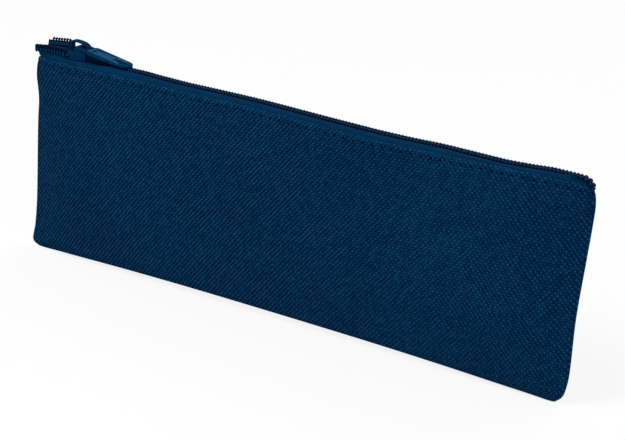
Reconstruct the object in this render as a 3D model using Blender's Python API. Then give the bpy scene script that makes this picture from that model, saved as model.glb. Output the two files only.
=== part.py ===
"""Flat zip pencil case: a cloth pocket that stands on its bottom fold, closed along the top by a
nylon coil zip. Metres, +X along the case, +Z up, front wall towards -Y, origin under its middle."""

import math

import bmesh
import bpy
from mathutils import Vector

for thing in list(bpy.data.objects):
    bpy.data.objects.remove(thing, do_unlink=True)

# Driving sizes of the pocket
case_length = 0.220
hem_height = 0.075
belly_half = 0.0070
belly_height = 0.036
mouth_half = 0.0064
base_half = 0.0032
cloth = 0.0006
hem_depth = 0.010
hem_round = 0.00035
seam_half = 0.0015
seam_rim = 0.0012
seam_allowance = 0.0070
closing_room = 0.0004
pinch_length = 0.028
corner_radius = 0.0050
open_flare = 0.0033
flare_depth = 0.020
fit = 0.0003

# Driving sizes of the zip
zip_drop = 0.0008
slider_lift = 0.0020
lift_length = 0.045
tape_thickness = 0.0005
tape_tuck = 0.012
tape_bend = 0.0007
coil_pitch = 0.00127
coil_back = 0.00205
coil_reach = 0.00035
coil_clearance = 0.00025
coil_thickness = 0.0012
coil_lift = 0.00015
cord_bore = 0.0007
cord_diameter = 0.00045
cord_offset = 0.0013
end_radius = 0.0020
end_turn = math.radians(35)
right_rise = 0.0016
rise_length = 0.021
left_rise = 0.0036
open_spread = 0.0050
open_roll = math.radians(105)

# Driving sizes of the slider and its pull tab
slider_inset = 0.018
slider_length = 0.0086
slider_wing = 0.0010
flange_thickness = 0.0004
post_half = 0.0008
post_length = 0.0030
crown_width = 0.0024
crown_strip = 0.0008
crown_height = 0.0037
spring_width = 0.0010
spring_strip = 0.0003
tab_length = 0.0232
tab_width = 0.0064
tab_thickness = 0.0016
tab_bar = 0.0014
tab_window_length = 0.0049
tab_window_width = 0.0032
tab_eye_wall = 0.0009
tab_slot_length = 0.0048
tab_slot_width = 0.0018
tab_rim = 0.0010

# Driving sizes of the threads
stitch_length = 0.0036
thread_diameter = 0.00028
fine_thread = 0.0002
topstitch_drop = 0.0020
overlock_pitch = 0.0036
overlock_bite = 0.0030

# Numbers of grid steps
wall_columns = 28
wall_rows = 8
curve_steps = 8

half_length = case_length / 2
flare_start = hem_height - flare_depth
zip_level = hem_height - zip_drop
slider_level = zip_level + slider_lift
slider_x = slider_inset - half_length

navy_cloth = (0.002, 0.025, 0.070, 1.0)
navy_tape = (0.002, 0.033, 0.088, 1.0)
navy_nylon = (0.002, 0.018, 0.052, 1.0)
navy_lacquer = (0.003, 0.027, 0.072, 1.0)
navy_thread = (0.002, 0.022, 0.062, 1.0)
steel_grey = (0.45, 0.46, 0.48, 1.0)


def finish_of(name, colour, roughness, metallic=0.0):
    """A Principled material with the piece's own colour."""
    material = bpy.data.materials.new(name)
    material.use_nodes = True
    shader = material.node_tree.nodes["Principled BSDF"]
    shader.inputs["Base Color"].default_value = colour
    shader.inputs["Roughness"].default_value = roughness
    shader.inputs["Metallic"].default_value = metallic
    return material


def place(name, mesh, material, smooth_angle=None):
    """Put a mesh in the scene as a named object with its material."""
    obj = bpy.data.objects.new(name, mesh)
    bpy.context.collection.objects.link(obj)
    mesh.materials.append(material)
    if smooth_angle is not None:
        mesh.shade_smooth()
        mesh.set_sharp_from_angle(angle=smooth_angle)
    return obj


def mesh_from(name, points, faces):
    """A closed mesh from its corner points and faces, with every face turned outwards."""
    work = bmesh.new()
    corners = [work.verts.new(point) for point in points]
    for face in faces:
        work.faces.new([corners[i] for i in face])
    bmesh.ops.recalc_face_normals(work, faces=work.faces)
    mesh = bpy.data.meshes.new(name)
    work.to_mesh(mesh)
    work.free()
    return mesh


def loft(name, rings, pairs):
    """A solid through rings of points. pairs are the index pairs that close each end as a strip."""
    count = len(rings[0])
    points = [point for ring in rings for point in ring]
    faces = []
    for level in range(len(rings) - 1):
        low, high = level * count, (level + 1) * count
        for i in range(count):
            j = (i + 1) % count
            faces.append((low + i, low + j, high + j, high + i))
    last = (len(rings) - 1) * count
    for (a, b), (c, d) in zip(pairs, pairs[1:]):
        faces.append((a, c, d, b))
        faces.append((last + b, last + d, last + c, last + a))
    return mesh_from(name, points, faces)


def strip_pairs(count):
    """End pairs for a ring that runs out along one face and back along the other."""
    return [(i, 2 * count - 1 - i) for i in range(count)]


def prism(name, outline, low, high, along="Z"):
    """An outline of (u, v) points pushed from low to high along Z, or along Y for a side profile."""
    if along == "Z":
        ends = [[(u, v, level) for u, v in outline] for level in (low, high)]
    else:
        ends = [[(u, level, v) for u, v in outline] for level in (low, high)]
    count = len(outline)
    faces = [tuple(range(count)), tuple(range(2 * count - 1, count - 1, -1))]
    for i in range(count):
        j = (i + 1) % count
        faces.append((i, count + i, count + j, j))
    return mesh_from(name, ends[0] + ends[1], faces)


def helper(name, mesh):
    """A hidden shape that only cuts or joins another piece."""
    obj = bpy.data.objects.new(name, mesh)
    bpy.context.collection.objects.link(obj)
    obj.hide_render = True
    obj.display_type = "WIRE"
    return obj


def combine(obj, operation, name, mesh, follow=False):
    """Join a helper to a piece, or cut it away. A follower keeps the piece's own place and turn."""
    other = helper(name, mesh)
    if follow:
        other.location = obj.location
        other.rotation_euler = obj.rotation_euler
    boolean = obj.modifiers.new(name, "BOOLEAN")
    boolean.operation = operation
    boolean.object = other


def strand(name, points, diameter, material, rounds=0):
    """A thread or cord: a tube along its points with closed ends."""
    curve = bpy.data.curves.new(name, "CURVE")
    curve.dimensions = "3D"
    curve.bevel_depth = diameter / 2
    curve.bevel_resolution = rounds
    curve.use_fill_caps = True
    spline = curve.splines.new("POLY")
    spline.points.add(len(points) - 1)
    for spot, point in zip(spline.points, points):
        spot.co = (*point, 1)
    obj = bpy.data.objects.new(name, curve)
    bpy.context.collection.objects.link(obj)
    curve.materials.append(material)
    return obj


def smooth(t):
    t = min(1, max(0, t))
    return t * t * (3 - 2 * t)


def steps(first, last, count):
    """count + 1 even places from first to last."""
    return [first + (last - first) * i / count for i in range(count + 1)]


# The pocket: two walls of one cloth that swell from the side seams and the bottom fold


def full_half(z):
    """Half thickness of the pocket along its middle at height z."""
    if z < belly_height:
        return base_half + (belly_half - base_half) * math.sin(math.pi / 2 * z / belly_height)
    lean = (z - belly_height) / (hem_height - belly_height)
    return mouth_half + (belly_half - mouth_half) * math.cos(math.pi / 2 * min(1, lean))


def side_end(z):
    """Half length of the pocket at height z, with its bottom corners rounded."""
    below = max(0, corner_radius - z)
    return half_length - corner_radius + math.sqrt(corner_radius**2 - below**2)


def seam_plane(side, z):
    """How far a wall's seam edge stays from the middle plane. The open end's top corner flares."""
    gap = fit / 2 + closing_room * z / hem_height
    if side > 0:
        return gap
    return gap + open_flare * smooth((z - flare_start) / (hem_height - flare_start))


def wall_half(x, z):
    """Distance from the middle plane to the outer face of either wall."""
    side = 1 if x > 0 else -1
    edge = seam_plane(side, z) + seam_half
    inward = min(1, max(0, side_end(z) - abs(x)) / pinch_length)
    return edge + (full_half(z) - edge) * math.sin(math.pi / 2 * inward)


def wall_thickness(z):
    """One layer of cloth, and two where the hem is folded down inside."""
    return cloth if z < hem_height - hem_depth else 2 * cloth


def wall_mesh(name, facing, foot):
    """One wall of the pocket as a tray: its outer face, its seam edges and its inner face."""
    shares = [math.sin(math.pi / 2 * t) for t in steps(-1, 1, wall_columns)]
    low_share = 0.35
    levels = [foot] + [corner_radius * share for share in steps(low_share, 1, 2)[:-1]]
    rings = []
    for z in levels + side_levels() + [hem_height - hem_round, hem_height]:
        end = side_end(z)
        eased = hem_round if z == hem_height else 0
        outer = [(end * u, wall_half(end * u, z) - eased) for u in shares]
        reach = end - seam_rim
        inner = [(reach * u, wall_half(reach * u, z) - wall_thickness(z)) for u in shares]
        left, right = seam_plane(-1, z), seam_plane(1, z)
        outer = [(-end, left)] + outer + [(end, right)]
        inner = [(-reach, left)] + inner + [(reach, right)]
        rings.append([(x, facing * y, z) for x, y in outer + inner[::-1]])
    return loft(name, rings, strip_pairs(wall_columns + 3))


def side_levels():
    """Heights of the rows of a wall from its rounded corner to the middle of its hem."""
    hem_start = hem_height - hem_depth
    rows = steps(corner_radius, flare_start, wall_rows) + steps(flare_start, hem_start - cloth, 3)[1:]
    return rows + [hem_start, hem_height - hem_depth / 2]


def allowance_back(side, z):
    """Distance from the middle plane to the back of the sewn edge that is turned in."""
    return seam_plane(side, z) + fit / 3 + cloth


def allowance_mesh(name, facing, side):
    """The cloth's side edge turned in along the middle plane and sewn to the other wall's."""
    rings = []
    for z in side_levels()[1:] + [hem_height - seam_rim]:
        far = allowance_back(side, z)
        near, out, back = far - cloth, half_length - seam_rim / 2, half_length - seam_allowance
        ring = [(back, near), (out, near), (out, far), (back, far)]
        rings.append([(side * x, facing * y, z) for x, y in ring])
    return loft(name, rings, strip_pairs(2))


def base_mesh(name):
    """The bottom fold: a flat strip that the case stands on, from lip to lip."""
    shares = [math.sin(math.pi / 2 * t) for t in steps(-1, 1, wall_columns)]
    rings = []
    for u in shares:
        x = u * (side_end(0) - cloth / 2)
        half = wall_half(x, 0)
        ring = [(-half, 0), (half - cloth / 2, 0), (half - cloth / 2, cloth), (-half, cloth)]
        rings.append([(x, y, z) for y, z in ring])
    return loft(name, rings, strip_pairs(2))


def make_walls():
    cloth_finish = finish_of("navy_oxford_cloth", navy_cloth, 0.85)
    front_foot = cloth + fit
    for name, facing, foot in (("front_panel", -1, front_foot), ("rear_panel", 1, 0)):
        wall = place(name, wall_mesh(name, facing, foot), cloth_finish, math.radians(35))
        for side, word in ((-1, "left"), (1, "right")):
            fold = f"{name}_{word}_allowance"
            combine(wall, "UNION", fold, allowance_mesh(fold, facing, side))
        if foot == 0:
            combine(wall, "UNION", "bottom_fold", base_mesh("bottom_fold"))


# The zip: two woven tapes, each with a nylon coil sewn along its edge


def closed_end():
    """Where the zip starts to turn down at the right."""
    return half_length - coil_lift - coil_thickness - fit - end_radius


def level_of(x):
    """Height of the tape's middle at the chain: the slider lifts it, and its ends stand up."""
    left = left_rise * math.sin(min(math.pi / 2, roll_of(x)))
    past = max(0, x - slider_x - slider_length) / lift_length
    lifted = slider_lift * max(0, 1 - past) ** 2
    right = right_rise * smooth((x - closed_end() + rise_length) / rise_length)
    return zip_level + left + lifted + right


def spread_of(x):
    """How far each tape's edge has parted from the middle, from the slider's tail to the open end."""
    nose = slider_x - slider_length / 2
    tail = slider_x + slider_length / 2
    parted = post_half + coil_reach + coil_lift
    inside = parted * smooth((tail - x) / (slider_length - post_length))
    return inside + (open_spread - parted) * smooth((nose - x) / (half_length + nose))


def roll_of(x):
    """The tape turns up on edge from the slider to the open end."""
    nose = slider_x - slider_length / 2
    return open_roll * smooth((nose - x) / (half_length + nose))


def zip_frame(s, facing):
    """Place, outward direction and face normal of one tape's edge, s along the zip from the left."""
    x = s - half_length
    turn_at = closed_end()
    if x <= turn_at:
        roll = roll_of(x)
        spot = Vector((x, facing * spread_of(x), level_of(x)))
        outward = Vector((0, facing * math.cos(roll), -math.sin(roll)))
        normal = Vector((0, facing * math.sin(roll), math.cos(roll)))
        return spot, outward, normal
    angle = min(end_turn, (x - turn_at) / end_radius)
    run, drop = end_radius * math.sin(angle), end_radius * (1 - math.cos(angle))
    spot = Vector((turn_at + run, 0, level_of(turn_at) - drop))
    return spot, Vector((0, facing, 0)), Vector((math.sin(angle), 0, math.cos(angle)))


def zip_run():
    """Whole length of the zip along its path."""
    return closed_end() + half_length + end_radius * end_turn


def closing_length():
    """Length of zip at the right that rises and turns down."""
    return rise_length + end_radius * end_turn


def tape_wall(x, z):
    """Distance from the middle plane to a tape that lies behind the hem at height z."""
    behind = 2 * cloth + fit + tape_thickness / 2
    return max(wall_half(x, z) - behind, coil_back + fit + tape_thickness / 4)


def tape_centre(s, facing):
    """The tape's section at s: out from under the coil, round the bend and down behind the hem.
    Over the seam allowances it isn't tucked in: it stops just above the hem."""
    spot, outward, _ = zip_frame(s, facing)
    x = spot.x
    ended = smooth((abs(x) - (half_length - 2 * seam_allowance)) / (seam_allowance - seam_rim))
    tucked = [zip_level - tape_bend, hem_height - hem_depth / 2]
    tucked += [hem_height - hem_depth, hem_height - tape_tuck]
    wall = tape_wall(x, hem_height)
    flat = min(mouth_half, max(coil_back + coil_lift, wall - tape_bend - abs(spot.y)))
    inner, shoulder = spot + outward * coil_clearance, spot + outward * flat
    lying = [hem_height + fit + fit / 4 * (len(tucked) - i) for i in range(len(tucked))]
    down = []
    for low, high in zip(tucked, lying):
        y = tape_wall(x, low) * (1 - ended) + wall * ended
        down.append(Vector((x, facing * y, low + (high - low) * ended)))
    foot = down[0]
    rolled = smooth(roll_of(x) / open_roll)
    knee = Vector((x, foot.y, shoulder.z)).lerp((shoulder + foot) / 2, rolled)
    points = [inner, shoulder]
    for t in steps(0, 1, 3)[1:]:
        points.append(shoulder * (1 - t) ** 2 + knee * 2 * t * (1 - t) + foot * t * t)
    return points + down[1:]


def offset_line(points, along, distance):
    """A section line moved sideways by distance, square to itself and to the direction along."""
    moved = []
    for i, point in enumerate(points):
        before, after = points[max(0, i - 1)], points[min(len(points) - 1, i + 1)]
        square = (after - before).cross(along).normalized()
        moved.append(point + square * distance)
    return moved


def tape_mesh(name, facing):
    opening, closing = seam_allowance * 2, zip_run() - closing_length()
    turn_at = zip_run() - end_radius * end_turn
    places = steps(0, opening, 2 * curve_steps) + steps(opening, closing, 3 * curve_steps)[1:]
    places += steps(closing, turn_at, 2 * curve_steps)[1:]
    places += steps(turn_at, zip_run(), curve_steps // 2)[1:]
    rings = []
    for s in places:
        _, outward, normal = zip_frame(s, facing)
        along = normal.cross(outward)
        centre = tape_centre(s, facing)
        above = offset_line(centre, along, tape_thickness / 2)
        below = offset_line(centre, along, -tape_thickness / 2)
        rings.append(above + below[::-1])
    return loft(name, rings, strip_pairs(len(rings[0]) // 2))


def coil_point(s, facing, out, up):
    spot, outward, normal = zip_frame(s, facing)
    return spot + outward * out + normal * (tape_thickness / 2 + coil_lift + up)


def coil_mesh(name, facing):
    """A coil as a toothed strip with a bore for its cord. The two coils are half a pitch apart."""
    shift = coil_pitch / 2 if facing > 0 else 0
    teeth = int((zip_run() - coil_pitch) / coil_pitch)
    valley = coil_reach + coil_clearance
    points, faces = [], []
    for k in range(teeth + 1):
        s = k * coil_pitch + shift
        for out, up in ((coil_back, 0), (coil_back, coil_thickness), (valley, coil_thickness), (valley, 0)):
            points.append(coil_point(s, facing, out, up))
        for up in (coil_thickness, 0):
            tip = min(s + coil_pitch / 2, zip_run())
            points.append(coil_point(tip, facing, -coil_reach, up))
    for k in range(teeth):
        a, b = 6 * k, 6 * (k + 1)
        faces.append((a + 1, b + 1, b + 2, a + 4, a + 2))
        faces.append((a, a + 3, a + 5, b + 3, b))
        faces.append((a, b, b + 1, a + 1))
        faces.append((a + 3, a + 2, a + 4, a + 5))
        faces.append((a + 5, a + 4, b + 2, b + 3))
    del points[-2:]
    low, high = (coil_thickness - cord_bore) / 2, (coil_thickness + cord_bore) / 2
    near, far = cord_offset - cord_bore / 2, cord_offset + cord_bore / 2
    bore = []
    for k in bored_teeth(teeth):
        s = k * coil_pitch + shift
        bore.append(len(points))
        for out, up in ((far, low), (far, high), (near, high), (near, low)):
            points.append(coil_point(s, facing, out, up))
    for a, b in zip(bore, bore[1:]):
        for i in range(4):
            j = (i + 1) % 4
            faces.append((a + i, a + j, b + j, b + i))
    for rim, hole in ((0, bore[0]), (6 * teeth, bore[-1])):
        for i in range(4):
            j = (i + 1) % 4
            faces.append((rim + i, rim + j, hole + j, hole + i))
    return mesh_from(name, points, faces)


def bored_teeth(teeth):
    """Teeth at which the bore's line is set: each one near the curved ends, few between."""
    ends = int(2 * (half_length + slider_x) / coil_pitch)
    turned = int(closing_length() / coil_pitch)
    middle = [round(k) for k in steps(ends, teeth - turned, curve_steps)]
    return list(range(ends)) + middle + list(range(teeth - turned + 1, teeth + 1))


def make_zip():
    tape_finish = finish_of("navy_woven_tape", navy_tape, 0.8)
    nylon_finish = finish_of("navy_nylon_coil", navy_nylon, 0.45)
    thread_finish = finish_of("navy_zip_thread", navy_thread, 0.7)
    for word, facing in (("front", -1), ("rear", 1)):
        tape = f"{word}_zip_tape"
        place(tape, tape_mesh(tape, facing), tape_finish, math.radians(50))
        coil = f"{word}_coil"
        place(coil, coil_mesh(coil, facing), nylon_finish)
        shift = coil_pitch / 2 if facing > 0 else 0
        teeth = int((zip_run() - coil_pitch) / coil_pitch)
        line = [k * coil_pitch + shift for k in bored_teeth(teeth)]
        cord = [coil_point(s, facing, cord_offset, coil_thickness / 2) for s in line]
        strand(f"{word}_coil_cord", cord, cord_diameter, thread_finish)
        rise = coil_thickness + fine_thread / 2 + coil_lift
        sewn = [coil_point(s, facing, cord_offset, rise) for s in line]
        strand(f"{word}_coil_stitches", sewn, fine_thread, thread_finish)


# The slider: two wings joined by a post, a crown over the tab's bar and a locking spring


def slider_half(x, inset):
    """Half width of the slider at x: it follows the backs of the two coils that run through it."""
    return spread_of(x) + coil_back + fit + flange_thickness - inset


def slider_outline(inset):
    """Plan of a wing, seen from above: a blunt nose at the open side, narrowing to the tail."""
    nose, tail = slider_x - slider_length / 2, slider_x + slider_length / 2
    blunt_share, shoulder_share = 0.6, 0.1
    shoulder = nose + slider_length * shoulder_share
    half = [(nose, slider_half(nose, inset) * blunt_share)]
    half += [(x, slider_half(x, inset)) for x in steps(shoulder, tail, curve_steps)]
    return half + [(x, -y) for x, y in half[::-1]]


def flange_mesh(name, facing, low, high):
    """The lip that keeps a coil inside the slider, along one side of the upper wing."""
    count = len(slider_outline(0)) // 2
    outer, inner = slider_outline(0)[1:count], slider_outline(flange_thickness)[1:count]
    rings = []
    for (x, y), (_, near) in zip(outer, inner):
        rings.append([(x, facing * v, z) for v, z in ((y, low), (y, high), (near, high), (near, low))])
    return loft(name, rings, strip_pairs(2))


def wing_levels():
    """Heights of the two wings: under the tape, and over the coil and its stitches."""
    slot = tape_thickness / 2 + fit
    chain_top = tape_thickness / 2 + 2 * coil_lift + coil_thickness + fine_thread
    lower_top = slider_level - slot
    upper_low = slider_level + chain_top + fit / 2
    return lower_top - slider_wing, lower_top, upper_low, upper_low + slider_wing


def crown_arch(inset):
    """Side profile of the crown: up from the nose, over the tab's bar, down towards the tail."""
    foot = wing_levels()[3] + fit
    nose, tail = slider_x - slider_length / 2, slider_x + slider_length / 2
    front, back = nose + crown_strip / 2 + inset, tail + crown_strip / 2 - inset
    top = foot + crown_height - inset
    knee_share, fall_share = 0.62, 0.34
    rise, drop = (top - foot) * knee_share, (top - foot) * fall_share
    corner = Vector((front, top))
    start, crest = Vector((front, foot + rise)), Vector((front + crown_width - inset, top))
    bend = [start * (1 - t) ** 2 + corner * 2 * t * (1 - t) + crest * t * t for t in steps(0, 1, 5)]
    low = Vector((back, foot + drop))
    pull = Vector((back - crown_strip - inset / 2, top))
    fall = [crest * (1 - t) ** 2 + pull * 2 * t * (1 - t) + low * t * t for t in steps(0, 1, 5)]
    return [(front, foot)] + [tuple(p) for p in bend + fall[1:]] + [(back, foot)]


def tab_pivot():
    """The bar of the tab lies under the crown, just above the locking spring."""
    return slider_x, wing_levels()[3] + 2 * fit + spring_strip + tab_bar / 2


def tab_tilt():
    """The tab slopes from the crown down to the chain that its tip rests on."""
    x, height = tab_pivot()
    stitched = wing_levels()[2] - fit / 2 - slider_level
    rest = level_of(x + tab_length) + stitched + fit
    return math.asin((height - rest - tab_thickness / 2) / tab_length)


def make_slider():
    lacquer = finish_of("navy_lacquered_metal", navy_lacquer, 0.35, 0.3)
    under, lower_top, upper_low, top = wing_levels()
    body = place("slider_body", prism("slider_body", slider_outline(0), upper_low, top), lacquer)
    lower = prism("lower_wing", slider_outline(flange_thickness), under, lower_top)
    nose = slider_x - slider_length / 2
    wedge = [(nose + fit, 0), (nose + post_length / 3, post_half), (nose + post_length, post_half / 3)]
    wedge += [(x, -y) for x, y in wedge[:0:-1]]
    sunk = slider_wing / 3
    combine(body, "UNION", "post", prism("post", wedge, lower_top - sunk, upper_low + sunk))
    combine(body, "UNION", "lower_wing", lower)
    for word, facing in (("front", -1), ("rear", 1)):
        lip = f"{word}_flange"
        low = slider_level + tape_thickness / 2 + fit
        combine(body, "UNION", lip, flange_mesh(lip, facing, low, upper_low + sunk))
    tail = slider_x + slider_length / 2
    pin_x = tail - slider_length / 3
    hole = spring_width / 2 + fit
    window = [(pin_x - hole, -hole), (pin_x + hole, -hole), (pin_x + hole, hole), (pin_x - hole, hole)]
    cut = prism("lock_window", window, upper_low - fit, top + fit)
    combine(body, "DIFFERENCE", "lock_window", cut)

    outer, inner = crown_arch(0), crown_arch(crown_strip)
    half = crown_width / 2
    place("slider_crown", prism("slider_crown", outer + inner[::-1], -half, half, "Y"), lacquer)

    rest = top + fit
    lift = rest + spring_strip
    start = nose + 2 * crown_strip + fit
    pin = spring_strip
    leaf = [
        (start, rest),
        (pin_x, rest),
        (pin_x, upper_low + fit),
        (pin_x + pin, upper_low + fit),
        (pin_x + pin, lift),
        (start, lift),
    ]
    reach = spring_width / 2
    steel = finish_of("bright_spring_steel", steel_grey, 0.3, 1.0)
    place("lock_spring", prism("lock_spring", leaf, -reach, reach, "Y"), steel)


def make_tab():
    """The pull tab, drawn flat along +X from its bar, then tilted down about the bar."""
    lacquer = finish_of("navy_lacquered_tab", navy_lacquer, 0.3, 0.3)
    half, tip, thick = tab_width / 2, tab_length, tab_thickness / 2
    neck = tab_window_width / 2 + tab_eye_wall
    waist = tab_window_length + thick
    outline = [(tab_window_length, -neck), (waist, -half)]
    for angle in steps(-math.pi / 2, math.pi / 2, curve_steps):
        outline.append((tip - half + half * math.cos(angle), half * math.sin(angle)))
    outline += [(waist, half), (tab_window_length, neck)]
    tab = place("pull_tab", prism("pull_tab", outline, -thick, thick), lacquer)
    x, z = tab_pivot()
    tab.location = (x, 0, z)
    tab.rotation_euler = (0, tab_tilt(), 0)

    round_bar = tab_bar / 2
    cheek = neck - (thick - round_bar)
    eye = []
    for angle in steps(math.pi / 2, 3 * math.pi / 2, curve_steps):
        eye.append((round_bar * math.cos(angle), round_bar * math.sin(angle)))
    eye += [(waist, -round_bar), (waist, round_bar)]
    combine(tab, "UNION", "tab_eye", prism("tab_eye", eye, -cheek, cheek, "Y"), True)

    side, far = tab_window_width / 2, tab_window_length + fit
    window = [(round_bar, -side), (far, -side), (far, side), (round_bar, side)]
    combine(tab, "DIFFERENCE", "tab_window", prism("tab_window", window, -tab_width, tab_width), True)

    slot_half = tab_slot_width / 2
    slot_end = tip - tab_slot_width
    slot_start = slot_end - tab_slot_length
    slot = []
    for angle in steps(-math.pi / 2, math.pi / 2, curve_steps // 2):
        slot.append((slot_end + slot_half * (math.cos(angle) - 1), slot_half * math.sin(angle)))
    for angle in steps(math.pi / 2, 3 * math.pi / 2, curve_steps // 2):
        slot.append((slot_start + slot_half * (math.cos(angle) + 1), slot_half * math.sin(angle)))
    combine(tab, "DIFFERENCE", "tab_slot", prism("tab_slot", slot, -tab_width, tab_width), True)

    well_start, well_end = waist + tab_rim, slot_start - tab_rim
    wide = half - tab_rim
    well = [(well_start, -wide), (well_end, -wide), (well_end, wide), (well_start, wide)]
    floor = thick / 2
    combine(tab, "DIFFERENCE", "tab_well", prism("tab_well", well, floor, tab_thickness), True)


# The threads that hold the case together


def wavy(points, outward, amount):
    """A row of stitches: each other point of the thread stands a little further out."""
    return [Vector(p) + outward * (amount * (i % 2)) for i, p in enumerate(points)]


def make_threads():
    thread = finish_of("navy_sewing_thread", navy_thread, 0.7)
    radius, clear = thread_diameter / 2, fit / 3
    row = hem_height - topstitch_drop
    reach = half_length - seam_allowance
    count = 2 * int(reach / stitch_length)
    for word, facing in (("front", -1), ("rear", 1)):
        line = []
        for x in steps(-reach, reach, 2 * count):
            line.append((x, facing * (wall_half(x, row) + radius + clear), row))
        line = wavy(line, Vector((0, facing, 0)), clear)
        strand(f"{word}_topstitch", line, thread_diameter, thread)

    low = corner_radius + 2 * seam_rim
    for word, side in (("left", -1), ("right", 1)):
        high = flare_start if side < 0 else hem_height - hem_depth - seam_rim
        x = side * (half_length - 2 * seam_rim)
        line = []
        for z in steps(low, high, int((high - low) / stitch_length)):
            line.append((x, allowance_back(side, z) + clear + fine_thread / 2, z))
        strand(f"{word}_side_seam", line, fine_thread, thread)

        turns = int((high - low) / overlock_pitch)
        edge = side * (half_length - seam_allowance)
        bitten = edge + side * overlock_bite
        round_edge = edge - side * (clear + fine_thread)
        line = []
        for turn in range(turns):
            z = low + turn * overlock_pitch
            half = allowance_back(side, z + overlock_pitch) + clear + fine_thread / 2
            line += [
                (round_edge, -half, z),
                (bitten, -half, z + overlock_pitch / 4),
                (round_edge, -half, z + overlock_pitch / 2),
                (round_edge, half, z + overlock_pitch / 2),
                (bitten, half, z + overlock_pitch * 3 / 4),
                (round_edge, half, z + overlock_pitch - fine_thread * 2),
            ]
        strand(f"{word}_seam_overlock", line, fine_thread, thread)


make_walls()
make_zip()
make_slider()
make_tab()
make_threads()
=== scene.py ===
"""A flat zip pencil case of coarse navy cloth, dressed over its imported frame. Metres, front wall
towards -Y. The sections follow the case: cloth, zip tapes, coils, slider, pull tab, threads."""
import math

import bmesh
import bpy
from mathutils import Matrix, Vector, noise


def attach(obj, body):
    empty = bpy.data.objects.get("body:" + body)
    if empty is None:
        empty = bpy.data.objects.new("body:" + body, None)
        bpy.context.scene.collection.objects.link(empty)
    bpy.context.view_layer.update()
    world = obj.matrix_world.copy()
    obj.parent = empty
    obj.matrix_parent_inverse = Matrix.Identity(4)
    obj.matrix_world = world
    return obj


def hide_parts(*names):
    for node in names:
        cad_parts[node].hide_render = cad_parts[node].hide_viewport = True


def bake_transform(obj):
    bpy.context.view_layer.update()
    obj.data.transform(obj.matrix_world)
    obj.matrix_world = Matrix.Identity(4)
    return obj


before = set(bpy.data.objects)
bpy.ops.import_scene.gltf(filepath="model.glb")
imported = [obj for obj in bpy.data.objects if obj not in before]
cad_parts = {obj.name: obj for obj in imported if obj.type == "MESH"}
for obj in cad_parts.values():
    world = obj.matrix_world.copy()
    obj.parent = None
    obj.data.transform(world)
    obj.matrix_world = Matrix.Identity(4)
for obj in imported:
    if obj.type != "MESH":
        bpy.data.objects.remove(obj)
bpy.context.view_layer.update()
bpy.context.scene.view_settings.view_transform = "Standard"

# ---------------------------------------------------------------- the cloth
# One rectangle of coarse polyester oxford, folded at the bottom. The top edges are folded in as
# hems, the side edges are turned in and sewn together, and the inside has a thin smooth coating.

cloth_thickness = 0.0006
half_length = 0.110
hem_height = 0.0750
hem_depth = 0.010
base_half = 0.0034
belly_half = 0.0070
belly_height = 0.036
mouth_half = 0.0064
pinch_length = 0.028
seam_round = 0.0015
seam_half = 0.0016
seam_gap = 0.00001
seam_allowance = 0.0070
bottom_bow = 0.0019
bottom_corner = 0.106
bottom_round = 0.0042
hem_marks = [(-0.110, 0.0754), (-0.095, 0.0753), (-0.059, 0.0756), (-0.045, 0.0754),
             (-0.018, 0.0757), (0, 0.0754), (0.020, 0.0749), (0.038, 0.0748), (0.052, 0.075),
             (0.066, 0.0754), (0.088, 0.0759), (0.095, 0.0757), (0.102, 0.0753), (0.108, 0.0748)]
rear_drop = [(-0.072, 0), (-0.060, 0.0005), (-0.040, 0.0006), (0, 0.0007), (0.030, 0.0007),
             (0.050, 0.0007), (0.062, 0.0009), (0.076, 0.0013), (0.084, 0.0013),
             (0.090, 0.0009), (0.096, 0.0004), (0.103, 0)]
fold_round = 0.00078
flare_start = 0.055
open_flare = 0.0036
opening_end = 0.086
crease_at = 0.1046
swell_at = 0.1018
stitch_drop = 0.0020
stitch_length = 0.0036
stitch_reach = 0.1030
left_edge = [(0, 0.1082), (0.0012, 0.1104), (0.0026, 0.1112), (0.0045, 0.1111), (0.009, 0.1103),
             (0.020, 0.1098), (0.050, 0.1102), (0.060, 0.1098), (0.066, 0.1095), (0.070, 0.1089),
             (0.076, 0.1075)]
right_edge = [(0, 0.1058), (0.0016, 0.1076), (0.0036, 0.1087), (0.010, 0.1095), (0.030, 0.1092),
              (0.052, 0.1101), (0.066, 0.1106), (0.071, 0.1102), (0.0737, 0.1092), (0.076, 0.1079)]


def smooth(t):
    """From 0 to 1 with flat ends, as t goes from 0 to 1."""
    t = min(1, max(0, t))
    return t * t * (3 - 2 * t)


def curve(marks, x):
    """A smooth curve through marks of (x, value), flat beyond its first and last mark."""
    if x <= marks[0][0]:
        return marks[0][1]
    if x >= marks[-1][0]:
        return marks[-1][1]
    i = max(k for k in range(len(marks) - 1) if marks[k][0] <= x)
    (x0, a), (x1, b) = marks[i], marks[i + 1]
    before, after = marks[max(i - 1, 0)], marks[min(i + 2, len(marks) - 1)]
    first = (b - before[1]) / (x1 - before[0]) * (x1 - x0)
    last = (after[1] - a) / (after[0] - x0) * (x1 - x0)
    t = (x - x0) / (x1 - x0)
    return (a * (1 + 2 * t) * (1 - t) ** 2 + first * t * (1 - t) ** 2
            + b * t * t * (3 - 2 * t) + last * t * t * (t - 1))


def end_at(side, z):
    """Half length of the pocket at height z, along one edge's outline."""
    return curve(left_edge if side < 0 else right_edge, z)


def hem_line(x, facing=-1):
    """Height of the hem's fold. It waves a little, and the rear one is sewn a little lower."""
    return curve(hem_marks, x) - (curve(rear_drop, x) if facing > 0 else 0)


def bottom_line(x):
    """Height of the bottom fold, which bows up between the two corners that the case stands on."""
    return bottom_bow * (1 - min(1, abs(x) / bottom_corner) ** 2.6)


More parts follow.
